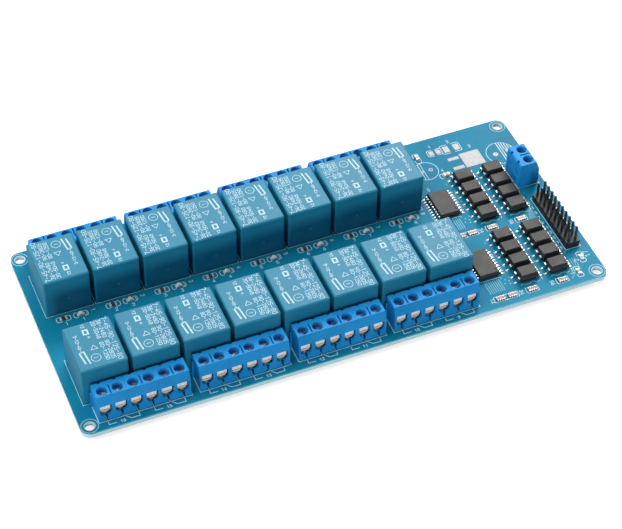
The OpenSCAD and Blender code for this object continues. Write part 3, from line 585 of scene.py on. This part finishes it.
# places kept for two round capacitors, beyond the last relay
small = {"x": 9.25, "y": 26.0, "radius": 4.3, "bars": (-1.75, -0.75),
         "hole": (1.75, 0.1), "holeInner": 0.46, "holeOuter": 0.8}
big = {"x": 37.5, "y": 24.8, "radius": 5.2, "firstBar": 0.35, "barStep": 0.85, "lastBar": 0.3,
       "padHalf": 1.4, "padSpan": (1.5, 4.3), "pads": ((35.5, 24.8), (40.4, 25.2)), "pad": 0.95}
clear = 0.1  # between the bars and the ring, and either side of the middle
smallX, bigX = controlX + small["x"], controlX + big["x"]
lines.append(arc(smallX, small["y"], small["radius"], steps=56))
for across in small["bars"]:
    rise = math.sqrt(small["radius"] ** 2 - across ** 2) - clear
    lines.append([(smallX + across, small["y"] - rise), (smallX + across, small["y"] + rise)])
lines.append(arc(bigX, big["y"], big["radius"], steps=64))
hatches = []
for across in np.arange(big["firstBar"], big["radius"] - big["lastBar"], big["barStep"]):
    rise = math.sqrt(big["radius"] ** 2 - across ** 2) - clear
    start = big["padHalf"] if big["padSpan"][0] < across < big["padSpan"][1] else clear
    hatches += [[(bigX + across, big["y"] + s * rise), (bigX + across, big["y"] + s * start)]
                for s in (-1, 1)]

capacitorGap = 0.6
emptyBrackets = ((15.9, 33.4, 2.7, 1.5, 0.7), (22.1, 33.4, 3.6, 2.15, 0.9))  # parts not fitted
emptyNumbers = ((15.3, 36.6), (22.3, 36.8), (28.6, 32.0), (14.6, 24.4), (6.1, 17.3))
lines += bracketPair(*capacitorAcross, *bracket, capacitorGap)
lines += bracketPair(*capacitorAlong, *bracket, capacitorGap, upright=True)
for across, y, *size in emptyBrackets:
    lines += bracketPair(controlX + across, y, *size)
for n, (across, y) in enumerate(emptyNumbers):
    numbers += numberLines(str(n + 1), controlX + across, y, silk["number"])

low, high = boardTop - silk["sink"], boardTop + silk["rise"]
for name, marks, width in (("lines", lines, silk["line"]), ("outlines", outlines, silk["outline"]),
                           ("hatches", hatches, silk["hatch"]), ("numbers", numbers, silk["thin"])):
    finishPiece(ribbonPiece("board_print_" + name, marks, width, low, high), "silkInk")
print("board print drawn")

# bare tinned pads, and raised tracks under the mask
copper = {"rise": 0.012, "track": 0.2, "via": 0.24, "leadPad": (1.3, 0.5), "optoPad": (0.7, 0.6),
          "arrayPad": (0.5, 0.6), "chipPad": (0.7, 1.3)}
padsOut = {"step": 1.27, "driver": 5.1, "opto": 4.9, "array": 1.0, "chip": 0.9}  # from the middle
fan = {"step": 0.74, "start": 6.7, "reach": 5.4, "straight": 0.9, "slope": 0.25,
       "viaStart": (3.6, 6.6), "vias": ((0, 0.2), (0.9, 1.5), (0.2, 3.0), (1.8, 3.6), (2.6, 0.8)),
       "sideVia": 6.9}
optoVias = ((-6.2, 0.4), (5.9, -0.9))
leadPads, optoPads, tracks, vias = [], [], [], []
for x, y in drivers:
    leadPads += [(x + s * padsOut["driver"], y + n * padsOut["step"])
                 for s in (-1, 1) for n in range(-4, 5)]
    front = y - fan["start"]
    endY = front - fan["reach"]
    for n in range(8):  # one track from the driver to each end of the two arrays in front of it
        trackX = x + (n - 3.5) * fan["step"]
        endX = arrayX[n // 4] + (n % 4 - 1.5) * array["pitch"]
        bendY = endY + fan["straight"] + abs(endX - trackX) * fan["slope"]
        tracks.append([(trackX, front), (trackX, bendY), (trackX, endY)])
    vias += [(x + fan["viaStart"][0] + across, y - fan["viaStart"][1] - along)
             for across, along in fan["vias"]]
    vias += [(x + fan["sideVia"], y + n * padsOut["step"]) for n in range(-4, 5, 2)]
for x, y in optoPlaces:
    optoPads += [(x - padsOut["opto"], y + s * padsOut["step"]) for s in (-1, 1)]
    vias += [(x + across, y + along) for across, along in optoVias]
arrayPads = [(x + (n - 1.5) * array["pitch"], y + s * padsOut["array"])
             for y in arrayY for x in arrayX for n in range(4) for s in (-1, 1)]
chipPads = [(x + across + s * padsOut["chip"], side * channelY)
            for x, side in zip(relayX, relaySides)
            for across in (relayMarks["resistor"], relayMarks["lamp"]) for s in (-1, 1)]
chipPads += [(capacitorAcross[0] + s * padsOut["chip"], capacitorAcross[1]) for s in (-1, 1)]
uprightPads = [(x, y + s * padsOut["chip"])
               for x, y in (powerLamp, powerResistor, capacitorAlong) for s in (-1, 1)]
emptyPads = (  # middle and size of the pads of parts that are not fitted, from the last relay
    (14.6, 33.4, 1.7, 2.1), (17.2, 33.4, 1.7, 2.1), (20.3, 33.4, 2.1, 3.0), (24.2, 33.4, 2.1, 3.0),
    (27.0, 26.05, 7.3, 7.1), (20.7, 28.2, 4.1, 1.4), (20.7, 23.5, 4.1, 1.4),
)
squares = [rectangles(places, size) for places, size in (
    (leadPads, copper["leadPad"]), (optoPads, copper["optoPad"]), (arrayPads, copper["arrayPad"]),
    (chipPads, copper["chipPad"]), (uprightPads, copper["chipPad"][::-1]))]
squares += [rectangles([(controlX + across, y)], size) for across, y, *size in emptyPads]
level = (boardTop - silk["sink"], boardTop + copper["rise"])
finishPiece(prismPiece("board_pads", np.concatenate(squares), *level), "padTin")
roundPads = [(controlX + across, y) for across, y in big["pads"]]
roundPads = spotsAt(roundPads, big["pad"], corners=28)
finishPiece(prismPiece("board_round_pads", roundPads, *level), "padTin")
smallHoles = [(smallX + s * small["hole"][0], small["y"] + small["hole"][1]) for s in (-1, 1)]
for name, places, inner, outer in (  # rings round the open holes
        ("board_hole_rings", holePlaces, mountHole["inner"], mountHole["outer"]),
        ("capacitor_hole_rings", smallHoles, small["holeInner"], small["holeOuter"])):
    profile = [(inner, level[0]), (outer, level[0]), (outer, level[1]), (inner, level[1])]
    finishPiece(turnedPiece(name, places, profile, steps=40), "padTin")

# two sets of five tracks, between the last optocouplers and the header and at the front right
# corner: x and both y of the first one's straight run, steps to the next track, and turn at the end
bentTracks = (
    {"run": (headerBox[0][0] - 2.6, -2.5, -24.0), "steps": (-0.5, -1.1, -0.9),
     "turn": (-2.2, -2.4)},
    {"run": (controlX + 34.5, -29.5, -36.0), "steps": (0.8, 0, 0.7), "turn": (-1.5, -1.6)},
)
for bent in bentTracks:
    for n in range(5):
        x, start, bend = np.array(bent["run"]) + n * np.array(bent["steps"])
        tracks.append([(x, start), (x, bend), (x + bent["turn"][0], bend + bent["turn"][1])])
rim = {"inset": 0.22, "short": 3}  # one track along the front edge
rimX, rimY = boardHalf - rim["inset"]
tracks.append([(-rimX + rim["short"], -rimY), (0, -rimY), (rimX - rim["short"], -rimY)])
finishPiece(ribbonPiece("board_tracks", tracks, copper["track"], *level), "tracedMask")
finishPiece(prismPiece("board_vias", spotsAt(vias, copper["via"]), *level), "tracedMask")
print("pads and tracks laid")

# print on the relay tops: columns of plain figures, bars, a ring and a triangle, drawn for a
# front-row relay seen from above with the middle of its top at 0, 0
relayPrint = {"line": 0.19, "bold": 0.5, "sink": 0.01, "rise": 0.005,
              "stray": (0.35, 0.25), "turns": (2.4, 3.1)}
relayFigures = (  # figures, their place across and along the relay, and their height
    ("20-5048", 1.9, 5.0, 1.2), ("80-1250", 1.9, -4.0, 1.2),
    ("36-2480", 3.7, 5.0, 1.25), ("90-2805", 3.7, -4.0, 1.25), ("7-45-90-125-80", 5.6, 0.2, 1.45),
    ("3-12-48-6", -5.0, 1.2, 0.95), ("12", -1.6, 7.9, 0.95), ("4", -0.9, 2.9, 0.95),
)
thin = [stroke for text, x, y, tall in relayFigures
        for stroke in numberLines(text, x, y, tall, -90)]
thin += [arc(-1.4, -5.7, 1.5, steps=28), [(-2.0, -5.7), (-1.4, -5.7), (-0.8, -5.7)],
         [(-1.9, -2.3), (0.3, -2.3), (-0.8, -0.6), (-1.9, -2.3)]]
bold = [boxLine(-2.1, 4.3, -0.7, 6.1), [(-5.7, -2.6), (-5.4, -4.7), (-5.1, -6.8)],
        [(-4.3, -2.2), (-4.0, -4.7), (-3.7, -7.2)]]
thinMarks, boldMarks = [], []
for n, (x, side) in enumerate(zip(relayX, relaySides)):  # no two are printed quite alike
    strayX = relayPrint["stray"][0] * math.sin(relayPrint["turns"][0] * n)
    strayY = relayPrint["stray"][1] * math.cos(relayPrint["turns"][1] * n)
    middle = [x + strayX, side * relayY + strayY]
    thinMarks += [np.asarray(mark) * -side + middle for mark in thin]
    boldMarks += [np.asarray(mark) * -side + middle for mark in bold]
level = (relayTop - relayPrint["sink"], relayTop + relayPrint["rise"])
finishPiece(ribbonPiece("relay_print_figures", thinMarks, relayPrint["line"], *level), "relayInk")
finishPiece(ribbonPiece("relay_print_marks", boldMarks, relayPrint["bold"], *level), "relayInk")
print("relay print drawn")

# painted highlight: a lighter blue disc on the end of the small moulding pip on the inner face of
# each relay, for the light that the pip catches
pip = {"across": 0.3, "up": 6.2, "radius": 0.42, "sink": 0.02, "rise": 0.004}
for name, side, row in (("back", 1, relayX[:8]), ("front", -1, relayX[8:])):
    ends = [(x + side * pip["across"], boardTop + pip["up"]) for x in row]
    ends = spotsAt(ends, pip["radius"], corners=20)
    level = sorted(-side * (pipEnd + inward) for inward in (pip["sink"], -pip["rise"]))
    piece = prismPiece("relay_pips_" + name, ends, *level, upright=True)
    finishPiece(piece, "pipPaintedHighlight")
print("relay pips made")

# camera: angles in degrees, the rest in millimetres
cameraLook = {"azimuth": -23.393, "elevation": 47.187, "roll": 1.296, "lens": 109.85,
              "sensor": 36, "distance": 628.43, "target": (0.836, -0.043, 1.6)}
azimuth, elevation, roll = (math.radians(cameraLook[k]) for k in ("azimuth", "elevation", "roll"))
back = np.array([math.sin(azimuth) * math.cos(elevation),
                 -math.cos(azimuth) * math.cos(elevation), math.sin(elevation)])
right = np.array([math.cos(azimuth), math.sin(azimuth), 0])
up = np.cross(back, right)
axes = np.stack([math.cos(roll) * right + math.sin(roll) * up,
                 math.cos(roll) * up - math.sin(roll) * right, back], 1)
place = (np.array(cameraLook["target"]) + back * cameraLook["distance"]) * mm
camera = bpy.data.objects.new("camera", bpy.data.cameras.new("camera"))
camera.data.lens = cameraLook["lens"]
camera.data.sensor_width = cameraLook["sensor"]
camera.matrix_world = Matrix.LocRotScale(place, Matrix(axes.tolist()).to_quaternion(), None)
bpy.context.scene.collection.objects.link(camera)
bpy.context.scene.camera = camera

# floor that glows a little for the camera only, so that it shows white round the board's shadow
stage = {"floor": 6.0, "below": 0.0001, "albedo": 0.50, "lift": 0.74, "sky": 0.06}
half, level = stage["floor"] / 2, cadBox[0][2] - stage["below"]
corners = [(-half, -half, level), (half, -half, level), (half, half, level), (-half, half, level)]
floorMesh = bpy.data.meshes.new("floor")
floorMesh.from_pydata(corners, [], [(0, 1, 2, 3)])
floor = bpy.data.objects.new("floor", floorMesh)
bpy.context.scene.collection.objects.link(floor)
paper = bpy.data.materials.new("paper")
paper.use_nodes = True
tree = paper.node_tree
tree.nodes.clear()
output = tree.nodes.new("ShaderNodeOutputMaterial")
matte = tree.nodes.new("ShaderNodeBsdfDiffuse")
matte.inputs["Color"].default_value = (stage["albedo"],) * 3 + (1,)
glow = tree.nodes.new("ShaderNodeEmission")
ray = tree.nodes.new("ShaderNodeLightPath").outputs
lift = mathNode(tree, "MULTIPLY", ray["Is Camera Ray"], stage["lift"])
tree.links.new(lift, glow.inputs["Strength"])
total = tree.nodes.new("ShaderNodeAddShader")
tree.links.new(matte.outputs[0], total.inputs[0])
tree.links.new(glow.outputs[0], total.inputs[1])
tree.links.new(total.outputs[0], output.inputs["Surface"])
floorMesh.materials.append(paper)

# sky that is dim as a light, and white to the camera, in reflections and through clear things
world = bpy.data.worlds.new("sky")
bpy.context.scene.world = world
world.use_nodes = True
tree = world.node_tree
sky = next(n for n in tree.nodes if n.type == "BACKGROUND")
sky.inputs["Color"].default_value = (1, 1, 1, 1)
ray = tree.nodes.new("ShaderNodeLightPath").outputs
seen = mathNode(tree, "MAXIMUM", ray["Is Camera Ray"], ray["Is Glossy Ray"])
seen = mathNode(tree, "MAXIMUM", seen, ray["Is Transmission Ray"])
tree.links.new(spread(tree, seen, stage["sky"], 1.0, 0, 1), sky.inputs["Strength"])

lamps = {  # direction from the board, distance in metres, size in metres and power in watts
    "backLamp": {"from": (0.34, 0.60, 0.72), "distance": 1.2, "size": 0.7, "power": 7.1},
    "topLamp": {"from": (-0.32, 0.14, 0.95), "distance": 1.2, "size": 0.6, "power": 7.1},
    "rightLamp": {"from": (0.57, 0.56, 0.60), "distance": 1.3, "size": 0.4, "power": 6.7},
    "leftLamp": {"from": (-0.92, -0.05, 0.38), "distance": 1.2, "size": 0.7, "power": 5.8},
    "frontLamp": {"from": (-0.15, -0.95, 0.26), "distance": 1.3, "size": 0.3, "power": 6.1},
}
for name, lamp in lamps.items():
    light = bpy.data.lights.new(name, "AREA")
    light.shape = "SQUARE"
    light.size = lamp["size"]
    light.energy = lamp["power"]
    source = bpy.data.objects.new(name, light)
    direction = np.array(lamp["from"]) / np.linalg.norm(lamp["from"])
    sideways = np.cross([0, 0, 1], direction)
    sideways /= np.linalg.norm(sideways)
    axes = np.stack([sideways, np.cross(direction, sideways), direction], 1)
    turn = Matrix(axes.tolist()).to_quaternion()
    source.matrix_world = Matrix.LocRotScale(direction * lamp["distance"], turn, None)
    bpy.context.scene.collection.objects.link(source)
bpy.context.scene.view_settings.view_transform = "Standard"
print("camera, floor and lamps set")
